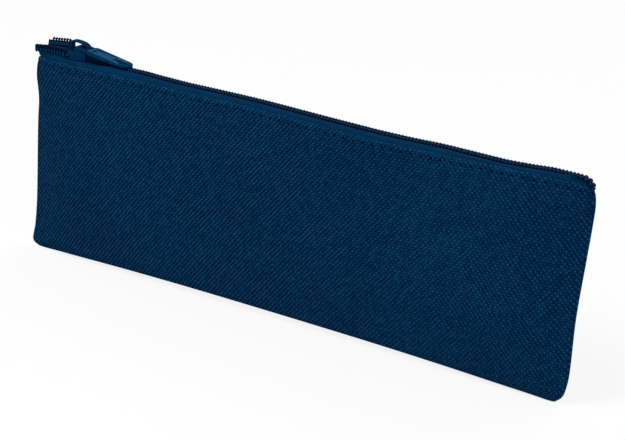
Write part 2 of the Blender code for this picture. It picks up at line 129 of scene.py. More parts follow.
def full_half(z):
    """Half thickness of the closed case at height z, away from its side seams."""
    if z < belly_height:
        return base_half + (belly_half - base_half) * math.sin(math.pi / 2 * z / belly_height)
    lean = min(1, (z - belly_height) / (hem_height - belly_height))
    return mouth_half + (belly_half - mouth_half) * math.cos(math.pi / 2 * lean)


def flare_at(side, z):
    """How far the seam edge stands off the middle plane, where the open end's corner is spread."""
    if side > 0:
        return seam_gap
    return seam_gap + open_flare * smooth((z - flare_start) / (hem_height - flare_start))


def wall_half(x, z):
    """Distance from the middle plane to the outside of either wall."""
    side = 1 if x > 0 else -1
    inward = max(0, end_at(side, z) - abs(x))
    rounding = math.sqrt(max(0, 1 - (1 - min(1, inward / seam_round)) ** 2))
    edge = flare_at(side, z) + seam_half * rounding
    swell = math.sin(math.pi / 2 * min(1, inward / pinch_length))
    return edge + (full_half(z) - edge) * swell if inward < pinch_length else full_half(z)


def open_share(x):
    """How far a point of the front wall follows the opening mouth: its two ends stay sewn."""
    along = (x + half_length) / (half_length + opening_end)
    return math.sin(math.pi * along) if 0 < along < 1 else 0


def ripple(x, z, facing):
    """Small unevenness of a sewn cloth: waves, a soft crease by the right seam, stitch pulls."""
    calm = smooth((half_length - abs(x)) / 0.006) * smooth(z / 0.008)
    wave = noise.noise(Vector((x / 0.021, z / 0.034, 3.1 + facing))) * 0.00042
    wave += noise.noise(Vector((x / 0.0075, z / 0.016, 7.7 - facing))) * 0.00013
    crease = -0.00042 * math.exp(-((x - crease_at) / 0.0011) ** 2) * smooth((z - 0.004) / 0.02)
    swell = 0.00025 * math.exp(-((x - swell_at) / 0.0016) ** 2)
    below = hem_line(x, facing) - z
    off_row = below - stitch_drop
    pull = -0.00016 * math.exp(-(off_row / 0.0006) ** 2)
    puckers = 0.00006 * math.sin(x * 2 * math.pi / stitch_length)
    pull += puckers * math.exp(-(off_row / 0.0012) ** 2)
    ledge = -0.00012 * smooth((below - hem_depth + 0.0008) / 0.0016)
    gather = noise.noise(Vector((x / 0.006, 0.5, facing))) * 0.0002 * math.exp(-below / 0.004)
    return calm * (wave + crease + swell + gather) + pull + ledge


def linked(name, data):
    """A new object in the scene, with this mesh, lamp or camera."""
    made = bpy.data.objects.new(name, data)
    bpy.context.scene.collection.objects.link(made)
    return made


def new_piece(name, corners, faces, flat_layer, flat, shares):
    """A smooth piece with its own flat coordinates in metres and its opening shares by corner."""
    mesh = bpy.data.meshes.new(name)
    mesh.from_pydata(corners, [], faces)
    layer = mesh.uv_layers.new(name=flat_layer)
    for loop in mesh.loops:
        layer.data[loop.index].uv = flat[loop.vertex_index]
    mesh.attributes.new("opening", "FLOAT", "POINT").data.foreach_set("value", shares)
    mesh.shade_smooth()
    return linked(name, mesh)


def soft_sheet(name, rows, places, weights):
    """A sheet of cloth from rows of points, with flat coordinates and opening shares by row."""
    count = len(rows[0])
    faces = []
    for i in range(len(rows) - 1):
        for j in range(count - 1):
            a = i * count + j
            faces.append((a, a + 1, a + count + 1, a + count))
    corners, flat, shares = ([value for row in part for value in row]
                             for part in (rows, places, weights))
    return new_piece(name, corners, faces, "cloth_flat", flat, shares)


def pick(*pieces):
    """Select only these pieces, of which the first one is active."""
    bpy.ops.object.select_all(action="DESELECT")
    for piece in pieces:
        piece.select_set(True)
    bpy.context.view_layer.objects.active = pieces[0]


def wear(piece, *materials):
    """Give a piece its materials in place of any that it has."""
    piece.data.materials.clear()
    for material in materials:
        piece.data.materials.append(material)


def fix(piece, kind, **settings):
    """Add a modifier and apply it."""
    modifier = piece.modifiers.new(kind.lower(), kind)
    for name, value in settings.items():
        setattr(modifier, name, value)
    pick(piece)
    bpy.ops.object.modifier_apply(modifier=modifier.name)


def follow_mouth(piece):
    """The piece's place is baked into its mesh and its opening shares are read, but nothing here
    makes it bend.
    """
    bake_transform(piece)
    shares = [0.0] * len(piece.data.vertices)
    piece.data.attributes["opening"].data.foreach_get("value", shares)


def hold(piece, facing):
    """What is on the front wall goes through follow_mouth, and what is on the rear one is attached
    to the pouch.
    """
    if facing < 0:
        follow_mouth(piece)
    else:
        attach(piece, "pouch")


class Finish:
    """A Principled material whose nodes are added one by one."""

    def __init__(self, name, roughness, **sockets):
        self.material = bpy.data.materials.new(name)
        self.material.use_nodes = True
        self.tree = self.material.node_tree
        self.shader = self.tree.nodes["Principled BSDF"]
        self.shader.inputs["Roughness"].default_value = roughness
        for socket, value in sockets.items():
            self.shader.inputs[socket.replace("_", " ")].default_value = value

    def node(self, kind, output=0, **inputs):
        """A node with its settings and inputs, of which a socket is linked and a value is set."""
        made = self.tree.nodes.new(kind)
        for name, value in inputs.items():
            if name.startswith("set_"):
                setattr(made, name[4:], value)
                continue
            key = int(name[1:]) if name[1:].isdigit() else name.replace("_", " ")
            if isinstance(value, bpy.types.NodeSocket):
                self.tree.links.new(value, made.inputs[key])
            else:
                made.inputs[key].default_value = value
        return made.outputs[output]

    def math(self, operation, first, second=0.0):
        """One step of arithmetic."""
        return self.node("ShaderNodeMath", set_operation=operation, i0=first, i1=second)

    def span(self, value, low, high, to_low, to_high):
        """A value's range from low to high carried over to another range, and held at its ends."""
        return self.node("ShaderNodeMapRange", Value=value, From_Min=low, From_Max=high,
                         To_Min=to_low, To_Max=to_high)

    def flat(self, layer):
        """The piece's own flat coordinates in metres, apart."""
        split = self.tree.nodes.new("ShaderNodeSeparateXYZ")
        self.tree.links.new(self.place(layer), split.inputs[0])
        return split.outputs[0], split.outputs[1]

    def place(self, layer=None):
        """The piece's own flat coordinates in metres, or where it has none its place in space."""
        if layer:
            return self.node("ShaderNodeUVMap", set_uv_map=layer)
        return self.node("ShaderNodeTexCoord", output=3)

    def times(self, vector, factors):
        """A vector with each of its parts multiplied."""
        return self.node("ShaderNodeVectorMath", set_operation="MULTIPLY", i0=vector, i1=factors)

    def noise(self, vector, scale, detail=2.0):
        """Soft unevenness between 0 and 1, scale spots to a metre."""
        return self.node("ShaderNodeTexNoise", Vector=vector, Scale=scale, Detail=detail)

    def tint(self, colour, factor):
        """The colour times a factor, into the base colour."""
        scaled = self.node("ShaderNodeVectorMath", set_operation="SCALE", i0=colour, Scale=factor)
        self.tree.links.new(scaled, self.shader.inputs["Base Color"])

    def bump(self, height, distance):
        """Relief in the surface, a height of 1 being this distance in metres."""
        made = self.node("ShaderNodeBump", Height=height, Distance=distance)
        self.tree.links.new(made, self.shader.inputs["Normal"])

    def rough(self, value):
        """A roughness that changes over the surface."""
        self.tree.links.new(value, self.shader.inputs["Roughness"])


fold = cloth_thickness + 0.00003
side_steps = [0, 0.0002, 0.0005, 0.0009, 0.0014, 0.0020, 0.0028, 0.0037, 0.0047, 0.0058]
column_step = 0.00125
inner_half = half_length - side_steps[-1]
inner_columns = int(2 * inner_half / column_step)
nominal = [-half_length + d for d in side_steps[:-1]]
nominal += [-inner_half + 2 * inner_half * i / inner_columns for i in range(inner_columns + 1)]
nominal += [half_length - d for d in side_steps[-2::-1]]
turned_in = [0.0004, 0.0012, 0.0026, 0.0044, seam_allowance]
inner_short = 0.0013
allowance_lift = 0.0013
bottom_steps, wall_steps, fold_steps, hem_steps = 7, 62, 8, 9


def cloth_row(facing, level, inner=0.0, share=1.0):
    """One row of cloth along the case, its seam edges turned in. level gives the height at a
    place x, inner is how far in from the outside the row lies, and share how wide it is."""
    points, flat, weights = [], [], []
    short = min(inner_short, inner)
    turned_left = [(-1, d) for d in turned_in[::-1]]
    turned_right = [(1, d) for d in turned_in]
    for side, deep in turned_left + [(0, x) for x in nominal] + turned_right:
        if side == 0:
            edge = 1 if deep > 0 else -1
            z = level(deep)
            shift = (end_at(edge, z) - half_length) * (abs(deep) / half_length) ** 8
            shift -= short * smooth((abs(deep) - 0.104) / 0.006)
            x = deep + edge * shift
            half = wall_half(x, z) + (ripple(x, z, facing) if share == 1 else 0)
            y = facing * max(seam_gap, half - inner) * share
            flat_x, follow = x, open_share(x)
        else:
            x = side * (end_at(side, level(side * half_length)) - deep - short)
            z = max(level(x), min(deep, allowance_lift))
            wide = flare_at(side, z)
            valley = seam_gap + (wide - seam_gap) * (1 - smooth(deep / seam_allowance))
            y = facing * (valley * 0.8 + min(inner, 0.0003)) * share
            flat_x, follow = side * (half_length + deep), 0
        points.append((x, y, z))
        flat.append(flat_x)
        weights.append(follow * smooth(z / 0.010) if facing < 0 else 0)
    return points, flat, weights


def cloth_side(facing):
    """All rows of one wall, from the bottom fold up, over the hem's round fold and down inside."""
    rows = []
    for k in range(1, bottom_steps + 1):
        turn = math.pi / 2 * k / bottom_steps
        lift = bottom_round * (1 - math.cos(turn) ** 0.85)
        rows.append(cloth_row(facing, lambda x: bottom_line(x) + lift, 0, math.sin(turn) ** 0.8))
    for k in range(1, wall_steps + 1):
        share = k / wall_steps

        def level(x):
            low = bottom_line(x) + bottom_round
            return low + (hem_line(x, facing) - fold_round - low) * share

        rows.append(cloth_row(facing, level))
    for k in range(1, fold_steps + 1):
        turn = math.pi * k / fold_steps
        below = fold_round * (1 - math.sin(turn))
        rows.append(cloth_row(facing, lambda x: hem_line(x, facing) - below,
                              fold_round * (1 - math.cos(turn))))
    for k in range(1, hem_steps + 1):
        deep = (hem_depth - fold_round) * (k / hem_steps) ** 1.3
        inner = 2 * fold + (2 * fold_round - 2 * fold) * (1 - smooth(deep / 0.0014))
        rows.append(cloth_row(facing, lambda x: hem_line(x, facing) - fold_round - deep, inner))
    return rows


front_rows, rear_rows = cloth_side(-1), cloth_side(1)
middle_row = cloth_row(1, bottom_line, 0, 0)
laid = rear_rows[::-1] + [middle_row] + front_rows
middle = len(nominal) // 2 + len(turned_in)
run, places = 0.0, []
for i, (points, flat, _) in enumerate(laid):
    run += math.dist(points[middle], laid[i - 1][0][middle]) if i else 0
    places.append([(u, run) for u in flat])

# Where the needle went through the flat cloth, for the painted shade at the stitch holes that the
# material shows.
sewn_rows = []
for i, (points, _, _) in enumerate(laid):
    x, y, z = points[middle]
    above = laid[i - 1][0][middle][2] if i else z
    line = hem_line(x, y) - stitch_drop
    if i and (above - line) * (z - line) <= 0 and abs(y) > wall_half(x, z) - fold:
        part = (line - above) / (z - above)
        sewn_rows.append(places[i - 1][0][1] + (places[i][0][1] - places[i - 1][0][1]) * part)
# The second row round each hem's fold gets a painted highlight: the cloth is lighter along it.
fold_highlight_row = bottom_steps + wall_steps + 2
fold_highlight_runs = [places[len(rear_rows) + i][0][1] for i in (fold_highlight_row, -fold_highlight_row)]

navy_cloth = (0.0009, 0.0180, 0.0390)
navy_depth = (0, 0.0003, 0.0155)
float_glint = (0.008, 0.019, 0.016)
weft_pitch = 0.00084
warp_pitch = 0.00098
weave_skew = 0.085
hole_shade_width, hole_shade_height = 0.00070, 0.00042

woven = Finish("coarse_oxford_cloth", 0.85, Specular_IOR_Level=0.01,
               Specular_Tint=(0.05, 0.4, 1.0, 1))
across, along = woven.flat("cloth_flat")
place = woven.place("cloth_flat")
sway = woven.math("MULTIPLY", woven.math("SUBTRACT", woven.noise(place, 60.0), 0.5), 1.7)
bend = woven.math("MULTIPLY", woven.math("SUBTRACT", woven.noise(place, 47.0, 1.0), 0.5), 1.3)
column = woven.math("ADD", woven.math("MULTIPLY", across, math.pi / weft_pitch), sway)
skewed = woven.math("SUBTRACT", along, woven.math("MULTIPLY", across, weave_skew))
row = woven.math("ADD", woven.math("MULTIPLY", skewed, math.pi / warp_pitch), bend)
rising = woven.math("COSINE", woven.math("SUBTRACT", column, row))
falling = woven.math("COSINE", woven.math("ADD", column, row))
patch = woven.math("SUBTRACT", woven.noise(place, 95.0), 0.5)
lean = woven.math("ADD", woven.span(across, 0, 0.085, 0.97, 0.40),
                  woven.math("MULTIPLY", patch, 0.9))
diagonal = woven.math("ADD", woven.math("MULTIPLY", rising, lean),
                      woven.math("MULTIPLY", falling, woven.math("SUBTRACT", 1.0, lean)))
threads = woven.math("ADD", woven.math("COSINE", woven.math("MULTIPLY", row, 2.0)),
                     woven.math("COSINE", woven.math("MULTIPLY", column, 2.0)))
threads_share = woven.span(across, -0.06, 0.05, 0.3, 0.38)
crossing = woven.math("ADD", diagonal, woven.math("MULTIPLY", threads, threads_share))
drawn = woven.math("SUBTRACT", woven.math("COSINE", woven.math("MULTIPLY", column, 2.0)),
                   woven.math("COSINE", woven.math("MULTIPLY", row, 2.0)))
drawn = woven.math("MULTIPLY", woven.math("MULTIPLY", drawn, diagonal), 0.55)
crossing = woven.math("ADD", crossing, drawn)
cell = woven.node("ShaderNodeCombineXYZ",
                  X=woven.math("ROUND", woven.math("DIVIDE", column, math.pi)),
                  Y=woven.math("ROUND", woven.math("DIVIDE", row, math.pi)))
uneven = woven.node("ShaderNodeTexWhiteNoise", set_noise_dimensions="2D", Vector=cell)
float_height = woven.math("ADD", crossing, woven.math("MULTIPLY", uneven, 1.1))
slow = woven.span(woven.noise(place, 24.0, 3.0), 0.3, 0.7, 0.9, 1.1)
fibres = [woven.noise(woven.times(place, stretch), 1.0)
          for stretch in ((9000.0, 1500.0, 1.0), (1500.0, 9000.0, 1.0))]
upright = woven.span(diagonal, -0.3, 0.3, 0, 1)
strands = woven.math("ADD", woven.math("MULTIPLY", fibres[0], upright),
                     woven.math("MULTIPLY", fibres[1], woven.math("SUBTRACT", 1.0, upright)))
shade = woven.math("MULTIPLY", woven.span(float_height, -1.0, 2.0, 0.2, 1.9), slow)
shade = woven.math("MULTIPLY", shade, woven.span(strands, 0.3, 0.7, 0.88, 1.12))
# Painted shade: the cloth is darkened in a spot at each stitch hole of the topstitch rows.
from_hole = woven.math("PINGPONG", woven.math("ADD", across, stitch_reach), stitch_length / 2)
for sewn in sewn_rows:
    off_row = woven.math("ABSOLUTE", woven.math("SUBTRACT", along, sewn))
    hole = woven.math("ADD", woven.math("MULTIPLY", from_hole, 1 / hole_shade_width),
                      woven.math("MULTIPLY", off_row, 1 / hole_shade_height))
    shade = woven.math("MULTIPLY", shade, woven.span(hole, 0.7, 1.4, 0.05, 1.0))
# Painted highlight: the colour is lighter along the shoulder of each hem's fold.
for highlight_run in fold_highlight_runs:
    off_fold = woven.math("ABSOLUTE", woven.math("SUBTRACT", along, highlight_run))
    shade = woven.math("MULTIPLY", shade, woven.span(off_fold, 0.0004, 0.0012, 1.4, 1.0))
# Painted highlight: the highest floats get a pale glint added to their colour. The deep blue added
# under it is the cloth's own.
glint = woven.span(woven.math("ADD", float_height, strands), 1.5, 3.0, 0.0, 1.0)
depth_and_glint = woven.node("ShaderNodeVectorMath", set_operation="SCALE", i0=float_glint, Scale=glint)
depth_and_glint = woven.node("ShaderNodeVectorMath", set_operation="ADD", i0=navy_depth, i1=depth_and_glint)
# The cloth's navy scaled by the weave's painted light and shade (floats lighter, dips darker), the
# stitch-hole shade and the fold highlight.
shaded_weave_colour = woven.node("ShaderNodeVectorMath", set_operation="SCALE", i0=navy_cloth, Scale=shade)
woven.tree.links.new(woven.node("ShaderNodeVectorMath", set_operation="ADD", i0=shaded_weave_colour, i1=depth_and_glint),
                     woven.shader.inputs["Base Color"])
woven.bump(woven.math("ADD", float_height, woven.math("MULTIPLY", strands, 0.5)), 0.00014)
woven.rough(woven.span(float_height, -1.0, 1.3, 0.9, 0.7))

navy_coating = (0.0016, 0.0150, 0.0420)
coated = Finish("coated_cloth_back", 0.5, Specular_IOR_Level=0.2, Specular_Tint=(0.2, 0.5, 1.0, 1))
grain = coated.noise(coated.times(coated.place("cloth_flat"), (1.0, 0.6, 1.0)), 1400.0)
coated.tint(navy_coating, coated.span(grain, 0.3, 0.7, 0.8, 1.25))
coated.bump(grain, 0.00008)

case_cloth = soft_sheet("case_cloth", [row[0] for row in laid], places, [row[2] for row in laid])
wear(case_cloth, woven.material, coated.material)
fix(case_cloth, "SOLIDIFY", thickness=cloth_thickness, offset=-1, material_offset=1,
    material_offset_rim=0, use_even_offset=False)
case_cloth.data.shade_smooth()
follow_mouth(case_cloth)
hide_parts("front_panel", "rear_panel")

# ---------------------------------------------------------------- the zip tapes
# Two woven polyester tapes, ribbed along their length. Each is tucked behind its hem and sewn
# there. From the slider to the open end they stand up on edge and spread.

slider_x = -0.092
slider_length = 0.0086
zip_marks = [(-0.0955, 0.0762), (-0.084, 0.07615), (-0.076, 0.07582), (-0.069, 0.07545),
             (-0.0645, 0.07552), (-0.058, 0.07528), (-0.0511, 0.07514), (-0.0459, 0.07504),
             (-0.0373, 0.07512), (-0.0205, 0.07523), (-0.0107, 0.07515), (-0.0009, 0.07492),
             (0.0118, 0.07462), (0.0212, 0.07445), (0.0305, 0.07428), (0.0396, 0.07429),
             (0.0456, 0.07437), (0.0544, 0.07466), (0.0632, 0.07464), (0.0747, 0.0745),
             (0.0785, 0.07449), (0.0831, 0.07467), (0.0887, 0.07502), (0.0942, 0.07545),
             (0.0975, 0.07552), (0.1023, 0.07549), (0.1051, 0.0754)]
tape_thickness = 0.00045
tape_tuck = 0.012
coil_thickness = 0.0012
coil_back = 0.00205
coil_pitch = 0.00127
open_roll = math.radians(104)
open_rise = 0.0038
open_droop = 0.0008
droop_start = -0.1005
rear_stand = 0.0008
open_spread = 0.0042
tail_spread = 0.0013
rear_hump = 0.7
hem_clearance = 0.0020
lip_depth = 0.0010
rim_points = 25
seam_clearance = 0.0022
front_start, rear_start = 0.0005, 0.0015 - coil_pitch
turn_start = 0.1051
turn_radius = 0.0029
turn_angle = math.radians(92)


def parted(x, facing):
    """From 0 inside the slider to 1 where that half of the zip stands apart."""
    start, reach = (0.0038, 0.0042) if facing < 0 else (0.0006, 0.0052)
    return smooth((slider_x - slider_length / 2 + start - x) / reach)


def humped(x):
    """From 0 inside the slider to 1 where the tapes stand up in a soft hump beside the coils."""
    return smooth((x - slider_x - slider_length * 0.8) / 0.012)


def zip_height(x, facing):
    """Height of the zip's middle line. Its open halves stand up, and droop at their very end."""
    rise = open_rise if facing < 0 else open_rise + rear_stand
    droop = open_droop * smooth((droop_start - x) / 0.009)
    return curve(zip_marks, x) + rise * parted(x, facing) - droop


def zip_spread(x, facing):
    """How far a half stands off the middle plane: a little in the slider, and more beyond it."""
    tail = slider_x + slider_length / 2
    inside = tail_spread * smooth((tail - x) / 0.0056)
    return inside + (open_spread - tail_spread) * parted(x, facing)


def zip_place(s, facing):
    """Place, outward direction and upper side of a tape's edge, s along the zip from the left."""
    x = s - half_length + (front_start if facing < 0 else rear_start)
    roll = open_roll * parted(x, facing)
    turn = min(turn_angle, max(0, x - turn_start) / turn_radius)
    spot = Vector((x, facing * zip_spread(x, facing), zip_height(x, facing)))
    if turn:
        spot.x = turn_start + turn_radius * math.sin(turn)
        spot.z -= turn_radius * (1 - math.cos(turn))
    outward = Vector((0, facing * math.cos(roll), -math.sin(roll)))
    upper = Vector((math.sin(turn), facing * math.sin(roll) * math.cos(turn),
                    math.cos(roll) * math.cos(turn)))
    return spot, outward, upper


zip_run = turn_start + half_length - front_start + turn_radius * turn_angle


def tape_row(s, facing):
    """The tape's section at s: from under the coil, up in a soft hump and down behind the hem."""
    spot, outward, upper = zip_place(s, facing)
    x, stand = spot.x, parted(spot.x, facing)
    arch = humped(x) * (1 if facing < 0 else rear_hump)
    wall = wall_half(x, hem_height - 0.004)
    edge = hem_line(x, facing)
    behind = min(0.0018 - 0.0006 * stand, wall * 0.55)
    flat = [(0.0002, 0), (0.0013, 0), (0.0022, 0), (0.0031, 0), (0.0037, -0.0001)]
    hump = [(0.0002, 0), (0.0015, 0), (0.0023, 0.0002), (0.0026, 0.0010), (0.0033, 0.00118)]
    marks = []
    for (far, rise), (far_up, rise_up) in zip(flat, hump):
        mark = spot + outward * (far + (far_up - far) * arch)
        mark += upper * (rise + (rise_up - rise) * arch)
        if mark.z < edge + hem_clearance:
            mark.y = facing * min(abs(mark.y), wall - behind - 0.0002)
        marks.append(mark)
    marks = marks[:5 - round(2 * stand)]
    lip = Vector((x, facing * (wall - behind - 0.0001), edge + 0.0002))
    if marks[-1].z > lip.z - 0.0004 or stand:
        marks.append(lip)
    marks.append(Vector((x, facing * (wall - behind), edge - lip_depth)))
    row = []
    for i in range(len(marks) - 1):
        before, after = marks[max(i - 1, 0)], marks[min(i + 2, len(marks) - 1)]
        a, b = marks[i], marks[i + 1]
        for k in range(4):
            t = k / 4
            row.append(a * (1 + 2 * t) * (1 - t) ** 2 + (b - before) * 0.5 * t * (1 - t) ** 2
                       + b * t * t * (3 - 2 * t) + (after - a) * 0.5 * t * t * (t - 1))
    row.append(marks[-1])
    while len(row) < rim_points:
        longest = max(range(len(row) - 1), key=lambda i: (row[i + 1] - row[i]).length)
        row.insert(longest + 1, (row[longest] + row[longest + 1]) / 2)
    for k in range(1, 8):
        z = edge - lip_depth - (tape_tuck - lip_depth) * k / 7
        deep = behind + (2 * fold + 0.0004 - behind) * smooth(k / 2)
        row.append(Vector((x, facing * max(0.0006, wall_half(x, z) - deep), z)))
    for point in row:
        tucked = smooth((edge + 0.0006 - point.z) / 0.0020)
        sewn_in = seam_clearance - end_at(-1, point.z)
        point.x += max(0, sewn_in - point.x) * tucked
    return row


navy_tape = (0.0011, 0.0240, 0.0680)
rib_pitch = 0.00062
pick_pitch = 0.00044
ribbed = Finish("ribbed_zip_tape", 0.8, Specular_IOR_Level=0.01, Specular_Tint=(0.05, 0.4, 1.0, 1))
length_way, width_way = ribbed.flat("cloth_flat")
ribs = ribbed.math("COSINE", ribbed.math("MULTIPLY", width_way, 2 * math.pi / rib_pitch))
picks = ribbed.math("COSINE", ribbed.math(
    "ADD", ribbed.math("MULTIPLY", length_way, 2 * math.pi / pick_pitch),
    ribbed.math("MULTIPLY", width_way, math.pi / rib_pitch)))
weave = ribbed.math("ADD", ribbed.math("MULTIPLY", ribs, 0.55),
                    ribbed.math("MULTIPLY", picks, 0.3))
tape_slow = ribbed.span(ribbed.noise(ribbed.place("cloth_flat"), 160.0, 3.0), 0.3, 0.7, 0.85, 1.15)
rib_shade = ribbed.span(weave, -0.85, 0.85, 0.66, 1.3)
ribbed.tint(navy_tape, ribbed.math("MULTIPLY", rib_shade, tape_slow))
ribbed.bump(weave, 0.00006)
ribbed.rough(ribbed.span(weave, -0.85, 0.85, 0.75, 0.55))

# The underside has painted shade: a row of dark dashes along the coil's seam, and dark gaps
# between the coil's turns near the edge, where shade falls inside the mouth.
row_place = 0.0019
under = Finish("zip_tape_underside_painted_shade", 0.85, Specular_IOR_Level=0.01)
under_along, under_across = under.flat("cloth_flat")
band = under.math("ABSOLUTE", under.math("SUBTRACT", under_across, row_place))
dash = under.math("MULTIPLY", under.math("PINGPONG", under_along, coil_pitch / 2), 1 / coil_pitch)
dark = under.math("ADD", under.math("MULTIPLY", band, 1 / 0.0004), dash)
sewn_shade = under.span(dark, 0.6, 1.3, 0.08, 1.0)
gaps = under.math("ADD", under.math("MULTIPLY", under_across, 1 / 0.0007), dash)
teeth_shade = under.span(gaps, 0.7, 1.2, 0.08, 1.0)
under.tint(navy_tape, under.math("MINIMUM", sewn_shade, teeth_shade))
under.bump(dark, 0.00008)

# The tape's rows are closest where it bends most: at the open end, and then at the closed one.
zip_steps = [0.0]
while zip_steps[-1] < zip_run:
    x = zip_steps[-1] - half_length
    step = 0.0007 if x < slider_x + 2 * slider_length else 0.0016 if x < 0.082 else 0.0009
    zip_steps.append(zip_steps[-1] + step)
zip_steps[-1] = zip_run
for word, facing in (("front", -1), ("rear", 1)):
    rows, places, shares = [], [], []
    for s in zip_steps:
        row = tape_row(s, facing)
        run, place_row = 0.0, []
        for i, point in enumerate(row):
            run += (point - row[i - 1]).length if i else 0
            place_row.append((s, run))
        rows.append(row)
        places.append(place_row)
        shares.append([open_share(row[0].x)] * len(row))
    tape = soft_sheet(f"{word}_tape_cloth", rows, places, shares)
    wear(tape, *(ribbed.material, under.material)[::-facing])
    fix(tape, "SOLIDIFY", thickness=tape_thickness, offset=0, material_offset=-facing,
        material_offset_rim=-facing)
    tape.data.shade_smooth()
    hold(tape, facing)
    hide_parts(f"{word}_zip_tape")

# ---------------------------------------------------------------- the coils
# Each chain half is one nylon monofilament wound into a flat coil, 1.27 mm to a turn, with heads
# that hook into the other half. A cord runs through it, and two rows of thread sew it down.

filament = 0.00056
head_reach = 0.00050
core_place, core_height, core_radius = 0.0010, 0.00068, 0.00036
sewing_places = (0.00078, 0.00142)
sewing_radius = 0.00026
sewing_bob = (0.00016, -0.00006, -0.00045, -0.00006)
sewing_widths = (1.15, 1, 0.8, 1)


def coil_point(s, facing, out, up):
    """A place at s along the zip, out from its half's inner edge and up from the tape's top."""
    spot, outward, normal = zip_place(min(s, zip_run), facing)
    return spot + outward * out + normal * (tape_thickness / 2 + up)


def ring_faces(first, rings, sides):
    """The faces of a thread whose rings of corners follow each other from the corner first on."""
    faces = []
    for i in range(first, first + (rings - 1) * sides, sides):
        for k in range(sides):
            a, b = i + k, i + (k + 1) % sides
            faces.append((a, b, b + sides, a + sides))
    last = first + (rings - 1) * sides
    faces.append(tuple(first + k for k in range(sides))[::-1])
    faces.append(tuple(last + k for k in range(sides)))
    return faces


def tube(name, path, radius, sides, material, widths=(1,), step=None):
    """A thread along a path of points, closed at both ends. widths repeat along it, and step is
    the length that each point counts for where the path's own length isn't wanted."""
    up = Vector((0, 0, 1))
    corners, flat, run = [], [], 0.0
    for i, point in enumerate(path):
        ahead = (path[min(i + 1, len(path) - 1)] - path[max(i - 1, 0)]).normalized()
        side = ahead.cross(up)
        if side.length < 0.05:
            side = ahead.cross(Vector((1, 0, 0)))
        side.normalize()
        up = side.cross(ahead)
        run += (step or (point - path[i - 1]).length) if i else 0
        width = widths[i % len(widths)]
        for k in range(sides):
            angle = 2 * math.pi * k / sides
            offset = side * math.cos(angle) + up * math.sin(angle)
            corners.append(point + offset * radius * width)
            flat.append((run, k / sides * 2 * math.pi * radius))
    shares = [open_share(corner.x) for corner in corners]
    faces = ring_faces(0, len(path), sides)
    piece = new_piece(name, corners, faces, "thread_flat", flat, shares)
    wear(piece, material)
    return piece


navy_nylon = (0.0006, 0.0075, 0.0270)
nylon = Finish("navy_nylon_filament", 0.5, Specular_IOR_Level=0.04,
               Specular_Tint=(0.1, 0.5, 1.0, 1))
scuff = nylon.noise(nylon.place("thread_flat"), 900.0)
nylon.tint(navy_nylon, nylon.span(scuff, 0.3, 0.7, 0.7, 1.35))
nylon.rough(nylon.span(scuff, 0.3, 0.7, 0.38, 0.55))
nylon.bump(scuff, 0.00002)

navy_thread = (0.0014, 0.0270, 0.0760)
twisted = Finish("twisted_polyester_thread", 0.8, Specular_IOR_Level=0.01,
                 Specular_Tint=(0.05, 0.4, 1.0, 1))
run_way, round_way = twisted.flat("thread_flat")
plies = twisted.math("SINE", twisted.math(
    "ADD", twisted.math("MULTIPLY", run_way, 2 * math.pi / 0.0006),
    twisted.math("MULTIPLY", round_way, 2 * math.pi / 0.00045)))
twisted.tint(navy_thread, twisted.span(plies, -1, 1, 0.6, 1.4))
twisted.bump(plies, 0.00005)

sewing = Finish("coil_sewing_thread", 0.8, Specular_IOR_Level=0.01,
                Specular_Tint=(0.05, 0.4, 1.0, 1))
sewing_run, sewing_round = sewing.flat("thread_flat")
# Painted light and shade: the thread is lighter where it stands over a coil turn and darker in the
# dips between turns.
turn_light_wave = sewing.math("COSINE", sewing.math("MULTIPLY", sewing_run, 2 * math.pi / coil_pitch))
sewing_plies = sewing.math("SINE", sewing.math(
    "ADD", sewing.math("MULTIPLY", sewing_run, 2 * math.pi / 0.0004),
    sewing.math("MULTIPLY", sewing_round, 2 * math.pi / 0.0008)))
sewing.tint(navy_thread, sewing.math("MULTIPLY", sewing.span(turn_light_wave, -0.1, 1.0, 0.04, 1.5),
                                     sewing.span(sewing_plies, -1, 1, 0.75, 1.25)))
sewing.bump(sewing_plies, 0.00004)

